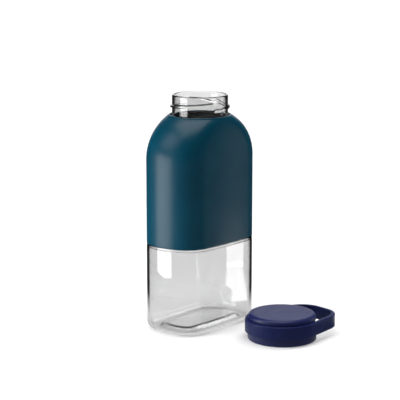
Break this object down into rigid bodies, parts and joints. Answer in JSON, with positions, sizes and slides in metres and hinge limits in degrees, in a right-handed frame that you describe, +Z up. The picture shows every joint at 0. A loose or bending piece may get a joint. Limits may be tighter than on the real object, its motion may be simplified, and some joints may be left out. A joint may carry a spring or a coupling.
{
  "type": "water bottle",
  "caption": "Flat-sided clear drinking bottle with a soft sleeve over its shoulder, open, its screw cap with a carry loop lying beside it.",
  "frame": {"origin": "middle of the bottle's base, on the plane that it stands on and on the neck's axis", "axes": "+Z up along the neck's axis, X along the long side of the body's flattened outline; the cap lies on the -Y side"},
  "size_m": [0.1037, 0.1373, 0.1897],
  "materials": {
    "clear_plastic": "clear copolyester, polished",
    "sleeve_silicone": "satin soft-touch, teal blue",
    "cap_plastic": "fine matt, navy",
    "cover_plastic": "fine matt, navy",
    "liner_plastic": "smooth moulded, navy",
    "gasket_silicone": "translucent milky silicone",
    "loop_silicone": "satin soft silicone, navy"
  },
  "bodies": {
    "bottle": {"bottle": "clear_plastic"},
    "sleeve": {"sleeve": "sleeve_silicone"},
    "cap": {"cap_shell": "cap_plastic", "cap_cover": "cover_plastic", "thread_liner": "liner_plastic", "gasket": "gasket_silicone"},
    "carry_loop": {"carry_loop": "loop_silicone"}
  },
  "joints": [
    {"name": "sleeve_pull", "type": "slide", "parent": "bottle", "child": "sleeve", "axis": [0, 0, 1], "range_m": [0, 0.125]},
    {"name": "cap_lift", "type": "slide", "parent": "bottle", "child": "cap", "axis": [0, 0, 1], "range_m": [0, 0.2]},
    {"name": "loop_swivel", "type": "hinge", "parent": "cap", "child": "carry_loop", "pos_m": [0.009, -0.0785, 0.0114], "axis": [0, 0, 1], "continuous": true}
  ]
}
